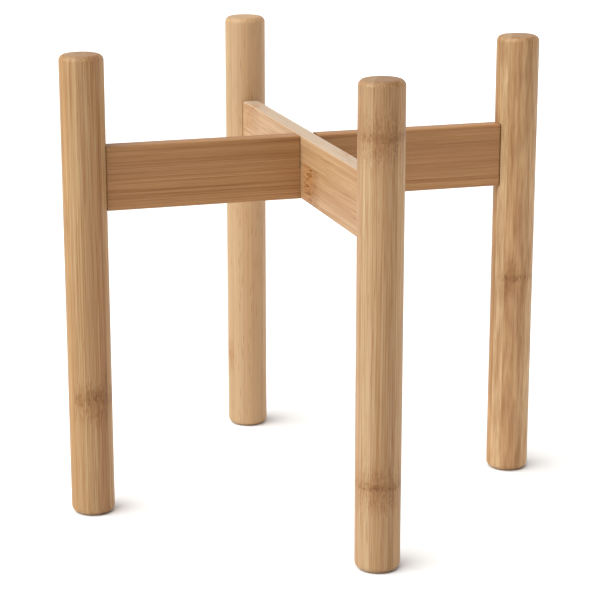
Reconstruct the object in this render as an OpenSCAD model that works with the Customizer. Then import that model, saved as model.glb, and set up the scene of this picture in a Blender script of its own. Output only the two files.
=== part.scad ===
// Plant pot stand: two H-shaped bamboo frames that cross at a half-lap joint.
// Each frame is two round legs and one flat crossbar, dowelled and glued.
// The lower frame runs along X and its notch opens upwards. The upper frame
// runs along Y, its notch opens downwards, and it drops onto the lower one.
// Millimetres, +Z up, with the origin on the floor under the crossing.

/* [Legs] */
// Diameter of a round leg
leg_d = 28; // [24:1:34]
// Height of the stand, which is the length of a leg
leg_h = 300; // [260:5:400]
// Distance between the axes of two opposite legs
leg_span = 292; // [240:4:380]
// Radius of the rounding round the top end of a leg
top_round = 4; // [2:0.5:6]
// Radius of the rounding round the foot of a leg
foot_round = 4.5; // [2:0.5:6]

/* [Crossbars] */
// Height of a crossbar's section
bar_h = 41.5; // [36:0.5:60]
// Thickness of a crossbar
bar_t = 11.5; // [11:0.5:16]
// Height of the pot's bottom above the floor, which is the top of both crossbars
rest_h = 242; // [120:2:250]
// Radius of the easing along every edge of a crossbar
edge_round = 1.5; // [0.5:0.1:2]
// How far a crossbar's side faces run into the leg
end_bite = 0.1; // [0.05:0.05:0.5]
// Glue line between a crossbar's end and the pocket in the leg
glue_line = 0.1; // [0.05:0.05:0.2]

/* [Half-lap joint] */
// Play between a notch's wall and the face of the bar that it straddles
lap_side_play = 0.5; // [0.1:0.1:0.8]
// Play between the floors of the two notches
lap_floor_play = 0.4; // [0.2:0.1:1]

/* [Dowels] */
// Diameter of a fluted dowel
dowel_d = 6; // [5:0.5:6]
// Length of a dowel
dowel_l = 30; // [24:1:34]
// Length of a dowel that is held in the leg
dowel_in_leg = 12; // [8:1:14]
// Distance between the two dowels of a joint
dowel_pitch = 22; // [16:1:26]
// Play round a dowel, filled with glue
dowel_play = 0.05; // [0.02:0.01:0.1]
// Room for spare glue at each end of a dowel
dowel_end_room = 1; // [0.5:0.5:2]
// Size of the chamfer at each end of a dowel
dowel_chamfer = 0.8; // [0.4:0.1:1]
// Number of flutes round a dowel
flutes = 12; // [8:1:16]
// Radius of a flute
flute_r = 0.5; // [0.3:0.1:0.6]
// Depth of a flute
flute_depth = 0.3; // [0.1:0.1:0.4]

/* [Hidden] */
$fn = 96;
past = 1; // how far a cutting solid runs past the face that it cuts

leg_r = leg_d / 2;
axis_at = leg_span / 2; // from the middle of the stand to a leg's axis

end_at = sqrt(leg_r * leg_r - bar_t * bar_t / 4) - end_bite; // leg's axis to a crossbar's end
bar_l = leg_span - 2 * end_at;
bar_foot = rest_h - bar_h; // underside of both crossbars
bar_mid = rest_h - bar_h / 2;

notch_w = bar_t + 2 * lap_side_play;
notch_d = bar_h / 2 + lap_floor_play / 2;

hole_r = dowel_d / 2 + dowel_play;
leg_hole_l = dowel_in_leg + dowel_end_room;
bar_hole_l = dowel_l - dowel_in_leg + dowel_end_room;

bamboo = "#cda172"; // bamboo laid with the faces of its strips on show
bamboo_edge = "#b98453"; // bamboo laid with the edges of its strips on show
beech = "#d9b48a";

// Directions of the four legs, seen from above
right_way = 0;
back_way = 90;
left_way = 180;
front_way = 270;

// Places its children on the axis of the leg that stands in one direction, with the middle
// of the stand towards -X.
module at_leg(way) {
    rotate([0, 0, way]) translate([axis_at, 0, 0]) children();
}

// Places its children on a dowel's line, where it leaves the crossbar's end, with +Z into
// the leg. The level is 1 for the high dowel and -1 for the low one.
module at_dowel(level) {
    translate([-end_at, 0, bar_mid + level * dowel_pitch / 2]) rotate([0, 90, 0]) children();
}

// The straight hole for a dowel: one stretch into the leg and one into the crossbar.
module dowel_hole(into_leg, into_bar) {
    translate([0, 0, -into_bar]) cylinder(r = hole_r, h = into_bar + into_leg);
}

// A fluted dowel with chamfered ends, on its own line.
module dowel() {
    r = dowel_d / 2;
    translate([0, 0, dowel_in_leg - dowel_l]) difference() {
        rotate_extrude() polygon([
            [0, 0], [r - dowel_chamfer, 0], [r, dowel_chamfer],
            [r, dowel_l - dowel_chamfer], [r - dowel_chamfer, dowel_l], [0, dowel_l]
        ]);
        for (i = [0 : flutes - 1]) {
            rotate([0, 0, i * 360 / flutes]) translate([r + flute_r - flute_depth, 0, -past])
                cylinder(r = flute_r, h = dowel_l + 2 * past, $fn = 24);
        }
    }
}

// Half of a leg's outline, with a quarter round at the foot and one at the top.
module leg_outline() {
    translate([0, foot_round]) square([leg_r, leg_h - foot_round - top_round]);
    square([leg_r - foot_round, leg_h / 2]);
    translate([0, leg_h / 2]) square([leg_r - top_round, leg_h / 2]);
    translate([leg_r - foot_round, foot_round]) circle(r = foot_round);
    translate([leg_r - top_round, leg_h - top_round]) circle(r = top_round);
}

// The flat-floored pocket in a leg for the square end of a crossbar.
module pocket() {
    w = bar_t + 2 * glue_line;
    h = bar_h + 2 * glue_line;
    floor_at = end_at - glue_line;
    translate([-leg_r - past, -w / 2, bar_mid - h / 2]) cube([leg_r + past - floor_at, w, h]);
}

// A turned leg, with a pocket and two dowel holes in the side that faces the middle of the
// stand.
module leg(way) {
    at_leg(way) difference() {
        rotate_extrude() leg_outline();
        pocket();
        for (level = [-1, 1]) at_dowel(level) dowel_hole(leg_hole_l, past);
    }
}

// A rectangle with its corners eased.
module eased_rectangle(w, h) {
    square([w - 2 * edge_round, h], center = true);
    square([w, h - 2 * edge_round], center = true);
    for (x = [-1, 1], y = [-1, 1]) {
        translate([x * (w / 2 - edge_round), y * (h / 2 - edge_round)]) circle(r = edge_round);
    }
}

// A crossbar along X before it is notched and drilled, with all its edges eased. It is what
// its section, its elevation and its plan have in common.
module bar_blank() {
    intersection() {
        rotate([90, 0, 90]) linear_extrude(height = 2 * bar_l, center = true)
            eased_rectangle(bar_t, bar_h);
        rotate([90, 0, 0]) linear_extrude(height = 2 * bar_t, center = true)
            eased_rectangle(bar_l, bar_h);
        linear_extrude(height = 2 * bar_h, center = true) eased_rectangle(bar_l, bar_t);
    }
}

// The cut for the half-lap joint, open at the crossbar's top or at its underside.
module notch(opens_up) {
    z = opens_up ? rest_h - notch_d : bar_foot - past;
    translate([-notch_w / 2, -bar_t / 2 - past, z])
        cube([notch_w, bar_t + 2 * past, notch_d + past]);
}

// A crossbar along X, notched in the middle and drilled for the dowels in both ends.
module crossbar(opens_up) {
    difference() {
        translate([0, 0, bar_mid]) bar_blank();
        notch(opens_up);
        for (way = [right_way, left_way], level = [-1, 1]) {
            at_leg(way) at_dowel(level) dowel_hole(past, bar_hole_l);
        }
    }
}

module lower_crossbar() { color(bamboo_edge) crossbar(opens_up = true); }
module upper_crossbar() { color(bamboo) rotate([0, 0, back_way]) crossbar(opens_up = false); }

module left_leg() { color(bamboo) leg(left_way); }
module right_leg() { color(bamboo) leg(right_way); }
module front_leg() { color(bamboo) leg(front_way); }
module back_leg() { color(bamboo) leg(back_way); }

module joint_dowel(way, level) { color(beech) at_leg(way) at_dowel(level) dowel(); }

lower_crossbar();
upper_crossbar();
left_leg();
right_leg();
front_leg();
back_leg();
joint_dowel(left_way, 1);  // left_dowel_high
joint_dowel(left_way, -1);  // left_dowel_low
joint_dowel(right_way, 1);  // right_dowel_high
joint_dowel(right_way, -1);  // right_dowel_low
joint_dowel(front_way, 1);  // front_dowel_high
joint_dowel(front_way, -1);  // front_dowel_low
joint_dowel(back_way, 1);  // back_dowel_high
joint_dowel(back_way, -1);  // back_dowel_low
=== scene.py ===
# %% [markdown]
# # A bamboo plant pot stand
# The stand is two H-shaped frames of laminated bamboo. Each frame is two round legs and a flat
# crossbar, and the two crossbars lock into each other with a half-lap joint, so the stand comes
# apart into two flat halves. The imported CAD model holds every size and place. This script loads
# it as a fixed frame, models the six bamboo pieces finely around it, and gives every piece a
# grain that runs right through it, as in real wood.

# %% Load the frame
import math

import bmesh
import bpy
from mathutils import Euler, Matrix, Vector


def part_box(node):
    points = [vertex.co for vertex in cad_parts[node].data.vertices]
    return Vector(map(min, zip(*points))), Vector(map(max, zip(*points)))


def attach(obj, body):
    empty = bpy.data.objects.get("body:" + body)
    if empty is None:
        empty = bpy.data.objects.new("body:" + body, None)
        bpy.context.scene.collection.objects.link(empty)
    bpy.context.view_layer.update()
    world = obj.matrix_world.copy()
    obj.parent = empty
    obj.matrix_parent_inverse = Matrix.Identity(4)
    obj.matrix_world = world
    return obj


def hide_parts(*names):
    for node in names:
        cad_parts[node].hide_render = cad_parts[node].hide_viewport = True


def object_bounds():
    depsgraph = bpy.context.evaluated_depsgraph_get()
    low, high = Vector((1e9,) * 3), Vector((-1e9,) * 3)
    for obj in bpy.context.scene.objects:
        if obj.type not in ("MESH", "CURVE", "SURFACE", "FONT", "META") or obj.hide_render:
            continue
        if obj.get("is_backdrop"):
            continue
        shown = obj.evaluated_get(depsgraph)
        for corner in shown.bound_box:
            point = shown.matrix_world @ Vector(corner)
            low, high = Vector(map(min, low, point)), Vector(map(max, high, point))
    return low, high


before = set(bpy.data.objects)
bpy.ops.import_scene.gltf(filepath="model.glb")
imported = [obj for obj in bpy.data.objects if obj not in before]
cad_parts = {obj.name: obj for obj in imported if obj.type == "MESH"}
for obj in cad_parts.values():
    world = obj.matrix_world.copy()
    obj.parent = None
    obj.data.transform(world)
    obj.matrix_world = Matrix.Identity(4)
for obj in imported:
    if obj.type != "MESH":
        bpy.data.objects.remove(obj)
cad_low, cad_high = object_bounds()
print("CAD box in millimetres:", [round(1000 * side) for side in cad_high - cad_low])

# %% [markdown]
# ## Sizes
# Lengths in Blender are metres, and a maker thinks in millimetres, so one value turns one into
# the other. What the CAD model can tell is measured on its nodes: a leg's box gives the leg's
# diameter and height, and a crossbar's box gives the bar's length, thickness and height. Only
# the small roundings and clearances, which a box can't show, are repeated here.

# %% Sizes
MM = 0.001

leg_low, leg_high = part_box("right_leg")
leg_r = (leg_high.y - leg_low.y) / 2
leg_h = leg_high.z
leg_x = (leg_low.x + leg_high.x) / 2
top_round = 4 * MM
foot_round = 4.5 * MM

bar_low, bar_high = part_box("lower_crossbar")
bar_l, bar_t, bar_h = bar_high - bar_low
bar_mid = (bar_low.z + bar_high.z) / 2
edge_round = 1.5 * MM
print(f"leg {2000 * leg_r:.1f} x {1000 * leg_h:.1f} mm")
print(f"crossbar {1000 * bar_l:.1f} x {1000 * bar_t:.1f} x {1000 * bar_h:.1f} mm")

# %% [markdown]
# ## Helpers for modelling
# An operator acts on whatever is selected, and loading the frame leaves its nodes selected. So
# each step starts with nothing selected. A block and a rod are the two shapes that everything
# here starts from, as a piece or as a tool that cuts one.

# %% Blocks and rods
def select_only(*pieces):
    """Goes to object mode and selects only these objects, the last one active."""
    if bpy.context.object and bpy.context.object.mode != "OBJECT":
        bpy.ops.object.mode_set(mode="OBJECT")
    bpy.ops.object.select_all(action="DESELECT")
    for piece in pieces:
        piece.select_set(True)
        bpy.context.view_layer.objects.active = piece


def new_block(name, low, high):
    """A cube primitive that is sized to reach from one corner to the other."""
    select_only()
    bpy.ops.mesh.primitive_cube_add(size=1, location=(Vector(low) + Vector(high)) / 2)
    block = bpy.context.object
    block.name = name
    block.scale = Vector(high) - Vector(low)
    bpy.ops.object.transform_apply(location=True, rotation=True, scale=True)
    return block


def new_rod(name, start, length, radius, vertices, lying=False):
    """A cylinder primitive that starts at a point and runs along +Z, or along +X if lying."""
    select_only()
    way = Vector((1, 0, 0)) if lying else Vector((0, 0, 1))
    bpy.ops.mesh.primitive_cylinder_add(
        vertices=vertices, radius=radius, depth=length,
        location=Vector(start) + way * length / 2,
        rotation=(0, math.pi / 2, 0) if lying else (0, 0, 0),
    )
    rod = bpy.context.object
    rod.name = name
    bpy.ops.object.transform_apply(location=True, rotation=True, scale=True)
    return rod


# %% [markdown]
# A shop rounds an edge with a router and makes a notch or a hole with a saw or a drill. Here
# these are a bevel on edges that are picked by a test on where they lie, the way a person would
# click on them one after another, and a Boolean with a tool that is put away afterwards. What
# repeats is modelled once and copied, and each copy is turned about the middle of the stand.

# %% Rounding, cutting and copying
def bevel_edges(piece, test, width, segments):
    """Rounds the edges whose two ends both pass the test. Returns how many they were."""
    select_only(piece)
    bpy.ops.object.mode_set(mode="EDIT")
    bpy.ops.mesh.select_mode(type="EDGE")
    bpy.ops.mesh.select_all(action="DESELECT")
    mesh = bmesh.from_edit_mesh(piece.data)
    for edge in mesh.edges:
        edge.select = all(test(end.co) for end in edge.verts)
    count = sum(edge.select for edge in mesh.edges)
    bmesh.update_edit_mesh(piece.data)
    bpy.ops.mesh.bevel(offset=width, segments=segments, affect="EDGES")
    bpy.ops.object.mode_set(mode="OBJECT")
    return count


def cut_away(piece, *tools):
    """Cuts the shape of each tool out of a piece, and puts the tool away."""
    for tool in tools:
        select_only(piece)
        cut = piece.modifiers.new("cut", "BOOLEAN")
        cut.operation = "DIFFERENCE"
        cut.solver = "EXACT"
        cut.object = tool
        bpy.ops.object.modifier_apply(modifier=cut.name)
        bpy.data.objects.remove(tool)


def smooth_surface(piece):
    """Shades the roundings smooth, and keeps flat faces flat and cut edges crisp."""
    select_only(piece)
    bpy.ops.object.shade_smooth_by_angle(angle=math.radians(30))
    level = piece.modifiers.new("level", "WEIGHTED_NORMAL")
    level.keep_sharp = True
    bpy.ops.object.modifier_apply(modifier=level.name)


def turned_copy(piece, name, turn):
    """A copy with a mesh of its own, turned about the middle of the stand."""
    copy = piece.copy()
    copy.data = piece.data.copy()
    copy.name = name
    bpy.context.scene.collection.objects.link(copy)
    copy.rotation_euler.z = turn
    select_only(copy)
    bpy.ops.object.transform_apply(location=False, rotation=True, scale=False)
    return copy


# %% [markdown]
# ## A leg
# The real leg is a square blank glued up from bamboo strips, turned to a rod on a dowel machine,
# and rounded over at both ends with a router. It could be spun from its outline in one go. A
# cylinder whose two rims are bevelled comes out the same and is nearer to how the leg is made:
# rod first, then the roundings.

# %% Turn the rod and round its ends
TOUCHING = 0.1 * MM


def at_top(point):
    """Whether a point lies on the leg's upper end."""
    return point.z > leg_h - TOUCHING


def at_foot(point):
    """Whether a point lies on the floor."""
    return point.z < TOUCHING


right_leg = new_rod("right_bamboo_leg", (leg_x, 0, 0), leg_h, leg_r, vertices=96)
rim_edges = bevel_edges(right_leg, at_top, top_round, segments=10)
rim_edges += bevel_edges(right_leg, at_foot, foot_round, segments=10)
print("edges rounded over on the leg:", rim_edges)

# %% [markdown]
# ## The pocket and the dowel holes
# The end of the crossbar is square, so the leg has a flat-floored pocket for it, and two dowels
# hold the two together. All of this is hidden once the frame is glued, but the thin line where
# the bar disappears into the leg is in plain sight. It is cut here as the shop cuts it: one tool
# with square corners and two drills, each taken away with a Boolean.

# %% Cut the pocket and drill the leg
glue_line = 0.1 * MM
bar_end = bar_high.x
dowel_r = 3.05 * MM
dowel_levels = [bar_mid - 11 * MM, bar_mid + 11 * MM]
leg_hole = 13 * MM
bar_hole = 19 * MM
drill_run_out = 5 * MM

pocket = new_block(
    "pocket",
    (leg_x - 2 * leg_r, -bar_t / 2 - glue_line, bar_low.z - glue_line),
    (bar_end + glue_line, bar_t / 2 + glue_line, bar_high.z + glue_line),
)
drills = [
    new_rod(
        "drill", (bar_end - drill_run_out, 0, level), leg_hole + drill_run_out, dowel_r, 32,
        lying=True,
    )
    for level in dowel_levels
]
cut_away(right_leg, pocket, *drills)
smooth_surface(right_leg)
print("faces on a leg:", len(right_leg.data.polygons))

# %% [markdown]
# All four legs are one shape, because each takes the end of a crossbar in the same way. So the
# other three are copies of the finished leg, a quarter turn apart. What tells them apart is
# their wood, which comes later.

# %% The other three legs
back_leg = turned_copy(right_leg, "back_bamboo_leg", math.radians(90))
left_leg = turned_copy(right_leg, "left_bamboo_leg", math.radians(180))
front_leg = turned_copy(right_leg, "front_bamboo_leg", math.radians(270))
print("legs:", right_leg.name, back_leg.name, left_leg.name, front_leg.name)

# %% [markdown]
# ## A crossbar
# Each crossbar is a flat board, sanded along every edge, with a notch sawn half-way through its
# middle. The boards' edges are eased before the notch is cut, so the notch itself stays crisp.
# That order is kept here: block, bevel, then the cut. The notch is half a millimetre wider than
# the other board on either side, and this gap shows as a thin dark line at the crossing.

# %% The lower crossbar
lap_side_play = 0.5 * MM
lap_floor_play = 0.4 * MM
notch_half = bar_t / 2 + lap_side_play
notch_floor = bar_mid - lap_floor_play / 2


def everywhere(point):
    """Passes every point, so that all edges are eased."""
    return True


lower_bar = new_block("lower_bamboo_crossbar", bar_low, bar_high)
eased = bevel_edges(lower_bar, everywhere, edge_round, segments=6)
saw = new_block("saw", (-notch_half, -bar_t, notch_floor), (notch_half, bar_t, leg_h))
drills = [
    new_rod("drill", (start, 0, level), bar_hole + drill_run_out, dowel_r, 32, lying=True)
    for start in (bar_end - bar_hole, -bar_end - drill_run_out)
    for level in dowel_levels
]
cut_away(lower_bar, saw, *drills)
smooth_surface(lower_bar)
print("edges eased:", eased, "faces on the crossbar:", len(lower_bar.data.polygons))

# %% [markdown]
# The upper crossbar is the same board turned upside down and laid across the first one, so that
# the two notches face each other. Turning it over about its own long axis moves nothing else,
# because the dowels lie evenly above and below the middle of the board.

# %% The upper crossbar
upper_bar = turned_copy(lower_bar, "upper_bamboo_crossbar", 0)
upper_bar.rotation_euler = (math.pi, 0, math.pi / 2)
upper_bar.location.z = 2 * bar_mid
select_only(upper_bar)
bpy.ops.object.transform_apply(location=True, rotation=True, scale=False)
lap_low = min(corner.co.z for corner in upper_bar.data.vertices)
print("underside of the upper crossbar:", round(1000 * lap_low, 1), "mm")

# %% [markdown]
# ## Helpers for materials
# Finishes are written as the hex colours that a paint chart would give. Those are sRGB values,
# and a shader works with linear light, so one function turns them. A second one adds a node with
# its settings and links, and hands back its output, so that a pattern can be written down in the
# order in which it is worked out.

# %% Helpers for materials
def linear(hex_colour):
    """The linear colour for a hex colour such as "#cda172"."""
    parts = [int(hex_colour[i:i + 2], 16) / 255 for i in (1, 3, 5)]
    return [p / 12.92 if p <= 0.04045 else ((p + 0.055) / 1.055) ** 2.4 for p in parts] + [1]


def add_node(tree, kind, inputs=(), output=0, **settings):
    """Adds a node. Inputs are a list in order, or a dict by name. Returns an output socket."""
    node = tree.nodes.new("ShaderNode" + kind)
    for name, value in settings.items():
        setattr(node, name, value)
    live = [socket for socket in node.inputs if socket.enabled]
    given = inputs.items() if isinstance(inputs, dict) else enumerate(inputs)
    for key, value in given:
        socket = live[key] if isinstance(key, int) else next(s for s in live if s.name == key)
        if isinstance(value, bpy.types.NodeSocket):
            tree.links.new(value, socket)
        elif value is not None:
            socket.default_value = value
    return [socket for socket in node.outputs if socket.enabled][output]


def new_material(name):
    """An empty material. Returns it with its node tree and its shader."""
    material = bpy.data.materials.new(name)
    material.use_nodes = True
    shader = material.node_tree.nodes["Principled BSDF"]
    return material, material.node_tree, shader


# %% [markdown]
# ## Laminated bamboo
# Bamboo comes as a hollow pole, so boards are glued up from planed strips about 7 mm thick and
# 20 mm wide or more. Each strip has its own tone, its own fibres, and its own nodes, the joints
# of the pole, which come every 200 to 300 mm. A picture wrapped round the piece could not keep
# the top of a leg in step with its sides. A solid pattern can: it is worked out at each point
# inside the piece, so wherever the surface is cut, the right grain shows.
#
# Every pattern is written in millimetres along three directions of the piece: across the layers,
# across the strips, and along the grain. A Mapping node turns a point of the stand into them.

# %% Which strip a point is in
def lay_strips(tree, place, turn, layer, layers, strip, strips):
    """Turns a place into millimetres along the piece's own directions, and numbers its strip.

    Layers are stacked across the piece's first direction and strips lie side by side across its
    second. Returns the place, how far along the grain it is, the strip's number, and how far
    into its layer and into its strip the place is, from 0 to 1.
    """
    where = add_node(tree, "TexCoord", output=3)
    local = add_node(
        tree, "Mapping", {"Vector": where, "Location": place, "Rotation": turn, "Scale": (MM,) * 3},
        vector_type="TEXTURE",
    )
    split = tree.nodes.new("ShaderNodeSeparateXYZ")
    tree.links.new(local, split.inputs[0])
    across, side, along = split.outputs
    stack = add_node(tree, "Math", [across, 1 / layer, layers / 2], operation="MULTIPLY_ADD")
    row = add_node(tree, "Math", [side, 1 / strip, strips / 2], operation="MULTIPLY_ADD")
    layer_number = add_node(tree, "Math", [stack], operation="FLOOR")
    row_number = add_node(tree, "Math", [row], operation="FLOOR")
    number = add_node(
        tree, "Math", [row_number, layers, layer_number], operation="MULTIPLY_ADD"
    )
    in_layer = add_node(tree, "Math", [stack], operation="FRACT")
    in_row = add_node(tree, "Math", [row], operation="FRACT")
    return local, along, number, in_layer, in_row


def strip_table(tree, number, count, colours):
    """Gives each strip the colour that stands for it in a list."""
    place = add_node(tree, "Math", [number, 1 / count, 0.5 / count], operation="MULTIPLY_ADD")
    node = tree.nodes.new("ShaderNodeValToRGB")
    node.color_ramp.interpolation = "CONSTANT"
    stops = node.color_ramp.elements
    while len(stops) < count:
        stops.new(0.5)
    for i, colour in enumerate(colours):
        stops[i].position = i / count
        stops[i].color = colour
    tree.links.new(place, node.inputs[0])
    return node.outputs[0]


# %% [markdown]
# ### Nodes of the bamboo
# At a node the wood turns brown and mottled, for 5 to 15 mm on the legs and twice that on a
# crossbar, and crisply on its lower side. The fibres are short and crossed for about 20 mm below
# and above it. The distance along the grain to the nearest node drives both. Wrapping that
# distance repeats the node at an even spacing with no list of places. A fine noise frays the
# smudge up and down by a few millimetres, and a broad one breaks it up sideways, so that it
# never looks like a ring painted round the piece.

# %% How near a point is to a node
NODE_WANDER = 9.0
PATCH_SEED = 3.3


def near_node(tree, local, along, table, seed, apart, reach, crisp, gap):
    """A node's brown core, its zone of crossed fibres, and its soft halo, from 0 to 1.

    All lengths are in millimetres. Nodes come once in every length apart. The core starts within
    crisp of the node and ends at reach above it, and between its patches the share gap is left.
    """
    split = tree.nodes.new("ShaderNodeSeparateColor")
    tree.links.new(table, split.inputs[0])
    height, strength, _ = split.outputs
    wave = add_node(
        tree, "TexNoise",
        {"Vector": local, "W": seed, "Scale": 0.25, "Detail": 4.0, "Roughness": 0.85},
        noise_dimensions="4D",
    )
    shift = add_node(
        tree, "Math", [wave, NODE_WANDER, -NODE_WANDER / 2], operation="MULTIPLY_ADD"
    )
    start = add_node(tree, "Math", [height, -apart, shift], operation="MULTIPLY_ADD")
    raw = add_node(tree, "Math", [along, start], operation="ADD")
    distance = add_node(tree, "Math", [raw, apart / 2, -apart / 2], operation="WRAP")

    # The core: a crisp lower edge, a soft upper edge, and patches in between
    rise = add_node(
        tree, "MapRange", [distance, -crisp, crisp * 0.2, 0.0, 1.0],
        interpolation_type="SMOOTHSTEP",
    )
    fall = add_node(
        tree, "MapRange", [distance, reach * 0.35, reach, 1.0, 0.0],
        interpolation_type="SMOOTHSTEP",
    )
    patch = add_node(
        tree, "TexNoise",
        {"Vector": local, "W": seed + PATCH_SEED, "Scale": 0.11, "Detail": 1.0},
        noise_dimensions="4D",
    )
    patch = add_node(
        tree, "MapRange", [patch, 0.34, 0.52, gap, 1.0], interpolation_type="SMOOTHSTEP"
    )
    core = add_node(tree, "Math", [rise, fall], operation="MULTIPLY")
    core = add_node(tree, "Math", [core, patch], operation="MULTIPLY")
    core = add_node(tree, "Math", [core, strength], operation="MULTIPLY")

    # The crossed fibres reach 22 mm below the node and 24 mm above it
    below = add_node(
        tree, "MapRange", [distance, -22.0, -4.0, 0.0, 1.0], interpolation_type="SMOOTHSTEP"
    )
    above = add_node(
        tree, "MapRange", [distance, 6.0, 24.0, 1.0, 0.0], interpolation_type="SMOOTHSTEP"
    )
    zone = add_node(tree, "Math", [below, above], operation="MULTIPLY")
    zone = add_node(tree, "Math", [zone, strength], operation="MULTIPLY")

    # The halo fades out 17 mm away on either side
    away = add_node(tree, "Math", [distance], operation="ABSOLUTE")
    halo = add_node(
        tree, "MapRange", [away, 2.0, 17.0, 0.35, 0.0], interpolation_type="SMOOTHSTEP"
    )
    halo = add_node(tree, "Math", [halo, strength], operation="MULTIPLY")
    return core, zone, halo


# %% [markdown]
# ### Fibres
# Fibres are almost straight, but not quite. A long, slow sway carries them a little to the side,
# and near a node a short one curls them, where they had to find their way round it. Both are a
# noise that moves the place at which every other pattern is read, so streaks, specks and bundles
# all bend together.

# %% How the fibres bend
def sway(tree, local, waves, swing):
    """A shift to the side in millimetres, from a noise with so many waves in a millimetre."""
    stretched = add_node(tree, "VectorMath", [local, waves], operation="MULTIPLY")
    noise = add_node(
        tree, "TexNoise", {"Vector": stretched, "Scale": 1.0, "Detail": 1.0}, output=1
    )
    centred = add_node(tree, "VectorMath", [noise, (0.5, 0.5, 0.5)], operation="SUBTRACT")
    return add_node(tree, "VectorMath", {"Vector": centred, "Scale": swing}, operation="SCALE")


def bend_fibres(tree, local, zone, wander):
    """The place after the fibres' long sway and their short curl near a node."""
    long_swing = add_node(tree, "Math", [zone, 1.5, wander], operation="MULTIPLY_ADD")
    short_swing = add_node(tree, "Math", [zone, 3.5], operation="MULTIPLY")
    long_sway = sway(tree, local, (0.16, 0.16, 0.015), long_swing)
    short_curl = sway(tree, local, (0.22, 0.22, 0.07), short_swing)
    bent = add_node(tree, "VectorMath", [local, long_sway], operation="ADD")
    return add_node(tree, "VectorMath", [bent, short_curl], operation="ADD")


# %% [markdown]
# Along the grain bamboo shows a broad figure about 3 mm wide, streaks and hair lines of about
# half a millimetre, and between them the vascular bundles: dark threads on the sides, and dots
# on the end grain. The figure and the streaks are noises stretched along the grain, from about
# ten to four hundred times. The bundles are the cells of a Voronoi pattern stretched about ten
# times, which gives threads on a side and dots on an end from one pattern. Real bundles are
# about 0.5 mm apart. They are drawn at 1.3 mm, or they would not show.

# %% Figure, streaks, specks, bundles and strands
BUNDLE_PITCH = 1.3
BUNDLE_RUN = 14
STRAND_WIDTH = 1.3
STRAND_RUN = 240
FIGURE = (3.4, 150)
STREAKS = (0.6, 130)
HAIRS = (0.4, 20)
SPECK_WIDTH = 1.1


def fibre_noise(tree, place, key, width, length, **look):
    """A noise of fibres this many millimetres wide and long, cut anew for each strip."""
    stretched = add_node(
        tree, "VectorMath", [place, (1 / width, 1 / width, 1 / length)], operation="MULTIPLY"
    )
    return add_node(
        tree, "TexNoise", {"Vector": stretched, "W": key, "Scale": 1.0, **look},
        noise_dimensions="4D",
    )


def grain(tree, bent, number, seed, run, fleck):
    """Broad figure, streaks, hair lines, short specks, bundles and strands, in this order."""
    key = add_node(tree, "Math", [number, 7.31, seed], operation="MULTIPLY_ADD")
    patterns = [
        fibre_noise(tree, bent, key, width, length, Detail=detail, Roughness=0.55)
        for width, length, detail in (
            (FIGURE[0], FIGURE[1] * run, 2.0),
            (STREAKS[0], STREAKS[1] * run, 2.0),
            (HAIRS[0], HAIRS[1], 2.0),
            (SPECK_WIDTH, fleck, 3.0),
        )
    ]

    # Bundles: 1 in the middle of a bundle, 0 between bundles
    stretched = add_node(
        tree, "VectorMath", [bent, (1 / BUNDLE_PITCH, 1 / BUNDLE_PITCH, 1 / BUNDLE_RUN)],
        operation="MULTIPLY",
    )
    cell = add_node(
        tree, "TexVoronoi", {"Vector": stretched, "W": key, "Scale": 1.0},
        voronoi_dimensions="4D",
    )
    patterns.append(add_node(
        tree, "MapRange", [cell, 0.16, 0.40, 1.0, 0.0], interpolation_type="SMOOTHSTEP"
    ))

    # Strands: thin lines where a noise passes through its middle value
    strand = fibre_noise(tree, bent, key, STRAND_WIDTH, STRAND_RUN * run, Detail=1.0)
    strand = add_node(tree, "Math", [strand, 0.5], operation="SUBTRACT")
    patterns.append(add_node(tree, "Math", [strand], operation="ABSOLUTE"))
    return patterns


# %% [markdown]
# ### From patterns to colour
# A strip starts as one plain colour, and each pattern is a tint that multiplies it: dark and
# reddish at one end of the pattern, and clear at the other. Multiplying keeps the strip's own
# tone under every streak, as a stain does. Short specks only show where fibres cross.

# %% Streaks as tints
def tint_streaks(tree, colour, patterns, zone, figure, streaks):
    """Lays the figure, streaks, hair lines, strands and specks over a colour."""
    broad, fine, hair, short, _, strands = patterns
    crossed = add_node(tree, "Math", [zone, 0.55], operation="MULTIPLY")
    for pattern, low, high, dark, strength in (
        (broad, 0.32, 0.68, "#c2a98d", figure),
        (fine, 0.34, 0.66, "#e6d5c0", streaks),
        (hair, 0.25, 0.75, "#eadbc9", streaks),
        (strands, 0.0, 0.055, "#e2cfb6", streaks),
        (short, 0.36, 0.62, "#d2b694", crossed),
    ):
        light = add_node(tree, "MapRange", [pattern, low, high, 0.0, 1.0])
        tint = add_node(
            tree, "Mix", [light, linear(dark), linear("#fffffd")], data_type="RGBA"
        )
        colour = add_node(
            tree, "Mix", [strength, colour, tint], data_type="RGBA", blend_type="MULTIPLY"
        )
    return colour


# %% [markdown]
# The same bamboo looks different on each cut. End grain soaks up more lacquer, so it is darker
# and greyer, and its dots stand out. Where a surface faces across the strips, a pale grey is mixed
# in as a painted sheen: the white that the lacquer reflects at a grazing angle. On the upper
# crossbar it lands on the top face. The surface's normal tells which cut it is: one that points
# along the grain is an end, and one that points across the strips is an edge. Both are
# directions of the piece, not of the viewer.

# %% The cut of the surface
def facing(tree, direction):
    """From 0 to 1, how much the surface faces along a direction of the stand."""
    normal = add_node(tree, "TexCoord", output=1)
    share = add_node(tree, "VectorMath", [normal, direction], operation="DOT_PRODUCT")
    share = add_node(tree, "Math", [share], operation="ABSOLUTE")
    return add_node(
        tree, "MapRange", [share, 0.35, 0.95, 0.0, 1.0], interpolation_type="SMOOTHSTEP"
    )


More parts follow.
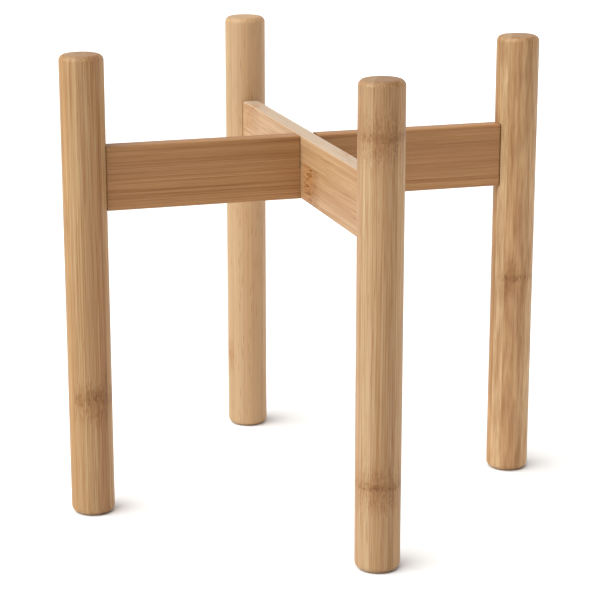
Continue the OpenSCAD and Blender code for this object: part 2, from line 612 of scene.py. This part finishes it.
def tint_cuts_and_sheen(tree, colour, turn, lacquer_sheen_share):
    """Greys the ends and paints a sheen on the planed edges. Returns the colour and where the ends
    are.
    """
    ways = Euler(turn).to_matrix()
    end = facing(tree, ways @ Vector((0, 0, 1)))
    edge = facing(tree, ways @ Vector((0, 1, 0)))
    colour = add_node(
        tree, "Mix", [end, colour, linear("#eae6e3")], data_type="RGBA", blend_type="MULTIPLY"
    )
    # Painted sheen: a pale grey on the faces across the strips stands in for the lacquer's grazing
    # reflection.
    pale = add_node(tree, "Math", [edge, lacquer_sheen_share], operation="MULTIPLY")
    colour = add_node(tree, "Mix", [pale, colour, linear("#b1a391")], data_type="RGBA")
    return colour, end


# %% [markdown]
# Bundles crowd together toward the outside of the pole, which is one side of each layer, and
# they show most on a rounding, where the cut is half side and half end. A node is a brown
# smudge, with darker specks in it where the crossed fibres are cut. A glue line is a hair of
# darker glue between two strips.

# %% Bundles, node marks and glue lines
def show_bundles(tree, bundles, in_layer, end):
    """How strongly the bundles show at a place, from 0 to 1."""
    crowd = add_node(tree, "MapRange", [in_layer, 0.0, 1.0, 0.10, 0.40])
    ring = add_node(tree, "Math", [end, 0.5], operation="SUBTRACT")
    ring = add_node(tree, "Math", [ring], operation="ABSOLUTE")
    ring = add_node(tree, "MapRange", [ring, 0.30, 0.50, 0.55, 0.15])
    crowd = add_node(tree, "Math", [crowd, ring], operation="ADD")
    return add_node(tree, "Math", [bundles, crowd], operation="MULTIPLY")


def mark_node(tree, colour, short, core, smudge_colour):
    """Lays a node's smudge and its dark specks over a colour."""
    for low, high, least, most, dark in (
        (0.42, 0.56, 0.2, 1.0, smudge_colour),
        (0.48, 0.57, 0.0, 0.85, "#6b4422"),
    ):
        share = add_node(
            tree, "MapRange", [short, low, high, least, most], interpolation_type="SMOOTHSTEP"
        )
        share = add_node(tree, "Math", [share, core], operation="MULTIPLY")
        colour = add_node(tree, "Mix", [share, colour, linear(dark)], data_type="RGBA")
    return colour


def glue_lines(tree, in_layer, layer, in_row, strip):
    """How much glue shows: a line 0.1 mm wide that fades out over 0.17 mm on either side."""
    seams = []
    for place_in, size in ((in_layer, layer), (in_row, strip)):
        off_centre = add_node(tree, "Math", [place_in, 0.5], operation="SUBTRACT")
        off_centre = add_node(tree, "Math", [off_centre], operation="ABSOLUTE")
        seams.append(add_node(
            tree, "MapRange", [off_centre, 0.5 - 0.22 / size, 0.5 - 0.05 / size, 0.0, 0.25],
            interpolation_type="SMOOTHSTEP",
        ))
    return add_node(tree, "Math", seams, operation="MAXIMUM")


# %% [markdown]
# ### The finish of one piece
# The strips, streaks, bundles and nodes are now laid over each other. A satin lacquer covers
# everything: it is not very rough, catches the white of the room at a grazing angle, and follows
# the fibres a little, so the roughness and the bump come from the same patterns. One function
# makes the finish for any piece, and each piece calls it with its own strips, because no two
# pieces are sawn from the same pole.

# %% Lacquered bamboo
DRIFT_END = 300.0


def lacquered_bamboo(
    name, place, turn, layer, strip, strip_colours, nodes, seed, rows=1,
    apart=300, reach=9.0, crisp=4.5, gap=0.25, smudge_colour="#8d6338",
    figure=0.6, streaks=1.0, wander=1.5, run=1.0, fleck=3.0,
    lacquer_sheen_share=0.0, drift_from=0.0, top_tone="#ffffff",
):
    """A solid bamboo material for one piece.

    A strip is layer thick and strip wide, in millimetres, and there are rows of them side by
    side. Nodes gives each strip's node height in millimetres and its strength. Figure and
    streaks say how strong these are, wander how far the fibres stray, run how long they run, and
    fleck how long the specks are. Top_tone is a tint of the pole. It grows from nothing at
    drift_from to its full strength at 300 mm.
    """
    count = len(strip_colours)
    material, tree, shader = new_material(name)
    local, along, number, in_layer, in_row = lay_strips(
        tree, place, turn, layer, count // rows, strip, rows
    )
    colour = strip_table(tree, number, count, [linear(colour) for colour in strip_colours])
    table = strip_table(
        tree, number, count, [(height / apart % 1, power, 0, 1) for height, power in nodes]
    )
    core, zone, halo = near_node(tree, local, along, table, seed, apart, reach, crisp, gap)
    bent = bend_fibres(tree, local, zone, wander)
    patterns = grain(tree, bent, number, seed, run, fleck)
    _, fine, hair, short, bundles, _ = patterns

    # Colour: streaks, the browner wood near a node, and the drift of tone along the pole
    colour = tint_streaks(tree, colour, patterns, zone, figure, streaks)
    drift = add_node(tree, "MapRange", [along, drift_from, DRIFT_END, 0.0, 1.0])
    for share, tone in ((halo, "#d9c2a2"), (drift, top_tone)):
        colour = add_node(
            tree, "Mix", [share, colour, linear(tone)], data_type="RGBA", blend_type="MULTIPLY"
        )
    colour, end = tint_cuts_and_sheen(tree, colour, turn, lacquer_sheen_share)
    threads = show_bundles(tree, bundles, in_layer, end)
    colour = add_node(tree, "Mix", [threads, colour, linear("#94683c")], data_type="RGBA")
    colour = mark_node(tree, colour, short, core, smudge_colour)
    seam = glue_lines(tree, in_layer, layer, in_row, strip)
    colour = add_node(tree, "Mix", [seam, colour, linear("#80552e")], data_type="RGBA")
    tree.links.new(colour, shader.inputs["Base Color"])

    # Satin lacquer: a little glossier on the light streaks, and sunk a little over the bundles
    gloss = add_node(tree, "MapRange", [fine, 0.3, 0.7, 0.60, 0.48])
    tree.links.new(gloss, shader.inputs["Roughness"])
    relief = add_node(tree, "Math", [fine, 0.6, hair], operation="MULTIPLY_ADD")
    relief = add_node(tree, "Math", [threads, -0.5, relief], operation="MULTIPLY_ADD")
    relief = add_node(
        tree, "Bump", {"Height": relief, "Strength": 0.5, "Distance": 0.06 * MM}
    )
    tree.links.new(relief, shader.inputs["Normal"])
    shader.inputs["IOR"].default_value = 1.5
    shader.inputs["Specular IOR Level"].default_value = 0.35
    print(name, "has", count, "strips and", len(tree.nodes), "nodes")
    return material


def wear(piece, material):
    """Makes a material the only one of a piece."""
    piece.data.materials.clear()
    piece.data.materials.append(material)


# %% [markdown]
# ### Legs
# The square blank for a leg is five layers of 7 mm. Turning it round lays each layer bare in a
# different way: the outer two show their broad faces and the inner three their edges. Every leg
# is turned by its own angle about its axis, so that its layers lie side by side as seen from
# the camera, each a little off square, and its strips come from different poles. The five strip
# tones are partly the bamboo's own and partly painted light: they follow the light and shade
# across each leg as seen, and the strip on the right-hand edge is paler as a painted rim light.
# Some poles have a fine, straight grain, and others a cloudy, broken one. Two of the legs also
# change their tone a little toward the top.

# %% Bamboo for the legs
def leg_bamboo(leg, x, y, angle, **looks):
    """Gives a leg the lacquered bamboo of its own five layers."""
    name = "lacquered_bamboo_" + leg.name.replace("_bamboo", "")
    turn = (0, 0, math.radians(angle))
    wear(leg, lacquered_bamboo(name, (x, y, 0), turn, layer=7.0, strip=40.0, **looks))


# These strip tones hold painted light as well as the bamboo's own tone: the last, right-hand strip
# is paler as a painted rim light.
leg_bamboo(
    front_leg, 0, -leg_x, -25, seed=1.0,
    strip_colours=["#bca081", "#c0a888", "#b49774", "#b0916f", "#c6a782"],
    nodes=[(266, 0.4), (266, 0.7), (266, 1.0), (266, 1.0), (266, 0.6)],
    apart=212, reach=6.0, crisp=1.6, gap=0.6,
    figure=0.15, streaks=0.85, wander=0.5, run=0.5, fleck=2.0,
    drift_from=240.0, top_tone="#ece6de",
)
leg_bamboo(
    left_leg, -leg_x, 0, -8, seed=2.0,
    strip_colours=["#bd9d71", "#bfa47f", "#b79b77", "#b4916d", "#caab84"],
    nodes=[(190, 0.2), (77, 0.5), (77, 1.0), (77, 0.9), (77, 0.5)],
    reach=12.0, crisp=3.0,
    figure=0.35, streaks=0.9, wander=0.6, run=0.6,
)
leg_bamboo(
    right_leg, leg_x, 0, -28, seed=3.0,
    strip_colours=["#c89f6e", "#dcbf98", "#cba67c", "#cda87e", "#dfbb90"],
    nodes=[(137, 0.1), (137, 0.3), (137, 1.0), (137, 0.5), (137, 0.3)],
    reach=4.5, crisp=2.5,
    figure=0.8, streaks=0.4, wander=1.0, run=0.2,
    top_tone="#e2e0db",
)
leg_bamboo(
    back_leg, 0, leg_x, -11, seed=4.0,
    strip_colours=["#ba9c76", "#c1a37f", "#c4a27b", "#c4a17a", "#cda981"],
    nodes=[(52, 0.6), (190, 0.1), (190, 0.1), (120, 0.1), (30, 0.1)],
    reach=13.0, crisp=2.0, smudge_colour="#b87c42",
    figure=0.15, streaks=0.3, wander=0.5, run=1.0,
)

# %% [markdown]
# ### Crossbars
# The two crossbars are cut from different boards. The upper one shows the broad faces of its
# strips: two layers through its thickness and two rows up its height, pale and with a wide
# figure. The strongest of its rust-brown nodes is beside the crossing. The lower one is laid the
# other way, with six layers stacked up its height, so its face shows only edges: fine level
# lines, and a deeper brown.

# %% Bamboo for the crossbars
row_seam = bar_mid + 4.2 * MM
# Its top and bottom faces get a painted sheen, a pale grey for the lacquer's grazing reflection.
wear(upper_bar, lacquered_bamboo(
    "lacquered_bamboo_upper_crossbar", (0, 0, row_seam), (math.radians(-90), 0, 0),
    layer=6.5, strip=26.0, rows=2, seed=5.0,
    strip_colours=["#c4a683"] * 4,
    nodes=[(106, 0.5), (-80, 0.4), (-31.0, 1.0), (40, 0.4)],
    reach=26.0, crisp=0.8, smudge_colour="#bd8347",
    figure=0.4, streaks=0.8, fleck=7.0, lacquer_sheen_share=0.6,
))
wear(lower_bar, lacquered_bamboo(
    "lacquered_bamboo_lower_crossbar", (0, 0, bar_mid), (0, math.radians(-90), 0),
    layer=7.0, strip=40.0, seed=6.0,
    strip_colours=["#ae875d", "#ab845a", "#b08960", "#b08960", "#ab845a", "#af885f"],
    nodes=[(107, 0.0)] * 6,
    figure=0.4, streaks=0.9, wander=0.4, run=2.0,
))

# %% [markdown]
# ## Dowels
# The fluted beech dowels in the glued joints already have their true shape in the CAD model, and
# nobody sees them. So they stay as they are, and only get their wood: pale pinkish beech, dry
# and unlacquered, with a fine pale and dark mottle about a millimetre across.

# %% Raw beech for the dowels
beech, tree, shader = new_material("raw_beech")
where = add_node(tree, "TexCoord", output=3)
millimetres = add_node(tree, "VectorMath", [where, (1000, 1000, 1000)], operation="MULTIPLY")
rays = add_node(tree, "TexNoise", {"Vector": millimetres, "Scale": 0.9, "Detail": 4.0})
colour = add_node(
    tree, "Mix", [rays, linear("#c79d72"), linear("#e6c8a2")], data_type="RGBA"
)
tree.links.new(colour, shader.inputs["Base Color"])
relief = add_node(tree, "Bump", {"Height": rays, "Strength": 0.4, "Distance": 0.1 * MM})
tree.links.new(relief, shader.inputs["Normal"])
shader.inputs["Roughness"].default_value = 0.75
dowels = [node for name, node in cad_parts.items() if "dowel" in name]
for dowel in dowels:
    wear(dowel, beech)
print("dowels with raw beech:", len(dowels))

# %% [markdown]
# ## Hand the pieces to the frame
# Each piece takes the place of the CAD node with its shape, and rides on the body that this node
# belongs to.

# %% Ride and replace
pieces = {
    "left_leg": (left_leg, "lower_frame", "bamboo_leg"),
    "right_leg": (right_leg, "lower_frame", "bamboo_leg"),
    "lower_crossbar": (lower_bar, "lower_frame", "bamboo_crossbar"),
    "front_leg": (front_leg, "upper_frame", "bamboo_leg"),
    "back_leg": (back_leg, "upper_frame", "bamboo_leg"),
    "upper_crossbar": (upper_bar, "upper_frame", "bamboo_crossbar"),
}
for node, (piece, body, finish) in pieces.items():
    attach(piece, body)
    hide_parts(node)
print("pieces:", [piece.name for piece, _, _ in pieces.values()])

# %% [markdown]
# ## Floor
# A plain, very pale matt floor, wide enough to fill the picture from any side. A faint mottle
# keeps it from looking like an empty page where the light falls off.

# %% Floor
select_only()
bpy.ops.mesh.primitive_plane_add(size=40, location=(0, 0, 0))
floor = bpy.context.object
floor.name = "studio_floor"
paper, tree, shader = new_material("matt_white_paper")
where = add_node(tree, "TexCoord", output=3)
mottle = add_node(tree, "TexNoise", {"Vector": where, "Scale": 3.0, "Detail": 2.0})
colour = add_node(
    tree, "Mix", [mottle, linear("#f3f3f2"), linear("#f7f7f6")], data_type="RGBA"
)
tree.links.new(colour, shader.inputs["Base Color"])
shader.inputs["Roughness"].default_value = 0.9
shader.inputs["Specular IOR Level"].default_value = 0.1
floor.data.materials.append(paper)
floor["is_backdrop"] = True
print("floor:", floor.name)

# %% [markdown]
# ## Light
# The stand is lit as on a white studio sweep. One very soft lamp, high up on the left, models
# the legs from light to dark. The white walls behind brighten every grazing surface, and the
# darker room in front leaves the faces toward the camera the darkest. The walls are a world
# colour that grows with the direction, and the lamp is a sun with a wide disc, which lights the
# floor evenly however far it runs.

# %% Light
def turn_to(azimuth, elevation):
    """The turn of a lamp that shines from this side and height. Azimuth 0 is +X, 90 is +Y."""
    round_by = math.radians(azimuth)
    up_by = math.radians(elevation)
    side = Vector((math.cos(round_by), math.sin(round_by), 0))
    way = side * math.cos(up_by) + Vector((0, 0, math.sin(up_by)))
    return way.to_track_quat("Z", "Y").to_euler()


soft_lamp = bpy.data.lights.new("soft_lamp_high_left", "SUN")
soft_lamp.energy = 3.9
soft_lamp.angle = math.radians(70)
lamp_stand = bpy.data.objects.new("soft_lamp_high_left", soft_lamp)
lamp_stand.rotation_euler = turn_to(192, 55)
bpy.context.scene.collection.objects.link(lamp_stand)

world = bpy.data.worlds.new("white_studio")
bpy.context.scene.world = world
world.use_nodes = True
tree = world.node_tree
where = add_node(tree, "TexCoord", output=0)
split = tree.nodes.new("ShaderNodeSeparateXYZ")
tree.links.new(where, split.inputs[0])
walls = add_node(tree, "MapRange", [split.outputs[1], -0.6, 0.8, 0.3, 0.9])
tree.links.new(walls, tree.nodes["Background"].inputs["Strength"])
tree.nodes["Background"].inputs["Color"].default_value = (1, 1, 1, 1)

# %% [markdown]
# ## Camera
# A catalogue picture of a small stand is taken with a long lens from a little above. The lens is
# 123 mm and stands 1.35 m away, which keeps the far legs nearly as large as the near ones.

# %% Camera
camera = bpy.data.cameras.new("catalogue_camera")
camera.lens = 123.06
camera.sensor_width = 36
tripod = bpy.data.objects.new("catalogue_camera", camera)
tripod.location = (-0.3877, -1.2470, 0.4855)
tripod.rotation_euler = (math.radians(90 - 15.2), 0, math.radians(-17.09))
bpy.context.scene.collection.objects.link(tripod)
bpy.context.scene.camera = tripod
bpy.context.scene.view_settings.view_transform = "Standard"
print("camera at", [round(value, 3) for value in tripod.location])

# %% [markdown]
# ## Check the size
# Blender must not change the object's size. The CAD box from the start and the box of what is
# shown now are compared, and how far each side has grown is printed.

# %% Check the size
new_low, new_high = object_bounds()
growth = list(cad_low - new_low) + list(new_high - cad_high)
print("grown by, in mm:", [round(1000 * side, 3) for side in growth])
